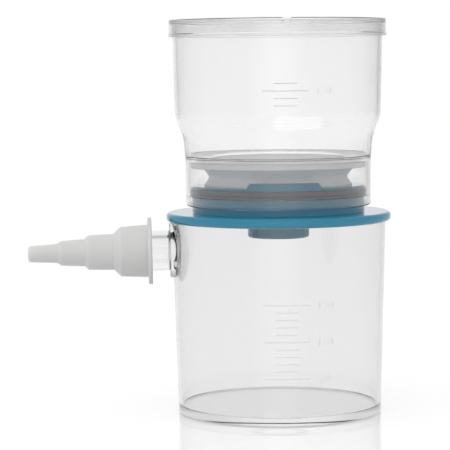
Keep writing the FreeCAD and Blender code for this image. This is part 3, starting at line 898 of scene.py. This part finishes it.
def makeFloor():
    # Polished white: a white sheet under a clear gloss
    bpy.ops.object.select_all(action="DESELECT")
    bpy.ops.mesh.primitive_plane_add(
        size=studio["floorSize"], location=(0, 0, -studio["floorDrop"])
    )
    floor = bpy.context.object
    floor.name = "floor"
    material = bpy.data.materials.new("floorWhite")
    material.use_nodes = True
    nodes, links = material.node_tree.nodes, material.node_tree.links
    nodes.remove(nodes["Principled BSDF"])
    ray, seen = addSeen(nodes, links)
    lift = addMath(nodes, links, "MULTIPLY", ray["Is Transmission Ray"], studio["floorLift"])
    shade = addRange(nodes, links, seen, studio["floorColour"], studio["floorShade"])
    sheet = nodes.new("ShaderNodeBsdfDiffuse")
    links.new(addMath(nodes, links, "SUBTRACT", shade, lift), sheet.inputs["Color"])
    glow = nodes.new("ShaderNodeEmission")
    brightness = addMath(nodes, links, "MULTIPLY", seen, studio["floorGlow"])
    links.new(addMath(nodes, links, "ADD", brightness, lift), glow.inputs["Strength"])
    white = nodes.new("ShaderNodeAddShader")
    links.new(sheet.outputs["BSDF"], white.inputs[0])
    links.new(glow.outputs["Emission"], white.inputs[1])
    gloss = nodes.new("ShaderNodeBsdfGlossy")
    gloss.inputs["Color"].default_value = (1, 1, 1, 1)
    gloss.inputs["Roughness"].default_value = studio["floorRoughness"]
    fresnel = nodes.new("ShaderNodeFresnel")
    fresnel.inputs["IOR"].default_value = studio["floorIor"]
    surface = nodes.new("ShaderNodeMixShader")
    links.new(fresnel.outputs["Fac"], surface.inputs["Fac"])
    links.new(white.outputs["Shader"], surface.inputs[1])
    links.new(gloss.outputs["BSDF"], surface.inputs[2])
    links.new(surface.outputs["Shader"], nodes["Material Output"].inputs["Surface"])
    floor.data.materials.append(material)


def makeWorld():
    # White to the camera. Clear and shiny pieces see it darken upwards and sideways, which
    # draws their edges.
    world = bpy.data.worlds.new("studio")
    bpy.context.scene.world = world
    world.use_nodes = True
    nodes, links = world.node_tree.nodes, world.node_tree.links
    place = nodes.new("ShaderNodeTexCoord")
    parts = nodes.new("ShaderNodeSeparateXYZ")
    links.new(place.outputs["Generated"], parts.inputs["Vector"])
    aside = addMath(nodes, links, "ABSOLUTE", parts.outputs["X"])
    upwards = addFade(nodes, links, parts.outputs["Z"], *studio["ceiling"])
    sideways = addFade(nodes, links, aside, *studio["sides"])
    ray, seen = addSeen(nodes, links)
    plain = addMath(nodes, links, "MAXIMUM", ray["Is Camera Ray"], ray["Diffuse Depth"])
    around = nodes.new("ShaderNodeMix")
    links.new(plain, around.inputs["Factor"])
    links.new(addMath(nodes, links, "MULTIPLY", upwards, sideways), around.inputs["A"])
    around.inputs["B"].default_value = studio["seen"]
    strength = nodes.new("ShaderNodeMix")
    links.new(seen, strength.inputs["Factor"])
    strength.inputs["A"].default_value = studio["ambient"]
    links.new(around.outputs["Result"], strength.inputs["B"])
    links.new(strength.outputs["Result"], nodes["Background"].inputs["Strength"])
    nodes["Background"].inputs["Color"].default_value = (1, 1, 1, 1)


def makeLamp():
    target = Vector((0, 0, (cadBox[0].z + cadBox[1].z) / 2))
    place = Vector(studio["lampPlace"])
    bpy.ops.object.light_add(type="AREA", location=place)
    lamp = bpy.context.object
    lamp.name = "softLamp"
    lamp.rotation_euler = (target - place).to_track_quat("-Z", "Y").to_euler()
    lamp.data.size = studio["lampSize"]
    lamp.data.energy = studio["lampPower"]
    lamp.visible_glossy = False  # its square would show in the clear walls


camera = {
    "distance": 740 * mm, "height": 125 * mm, "lens": 166.2, "near": 0.01,
    "side": 4.2, "turn": 1.48, "pitch": 4.5, "roll": 0.53,
}


def makeCamera():
    side = math.radians(camera["side"])
    away = camera["distance"]
    place = Vector((-math.sin(side) * away, -math.cos(side) * away, camera["height"]))
    bpy.ops.object.camera_add()
    view = bpy.context.object
    view.data.lens = camera["lens"]
    view.data.clip_start = camera["near"]
    heading = Matrix.Rotation(-math.radians(camera["side"] - camera["turn"]), 4, "Z")
    tilt = Matrix.Rotation(math.radians(90 - camera["pitch"]), 4, "X")
    roll = Matrix.Rotation(-math.radians(camera["roll"]), 4, "Z")
    view.matrix_world = Matrix.Translation(place) @ heading @ tilt @ roll
    bpy.context.scene.camera = view


makeFloor()
makeWorld()
makeLamp()
makeCamera()
bpy.context.scene.view_settings.view_transform = "Standard"
print("studio ready")
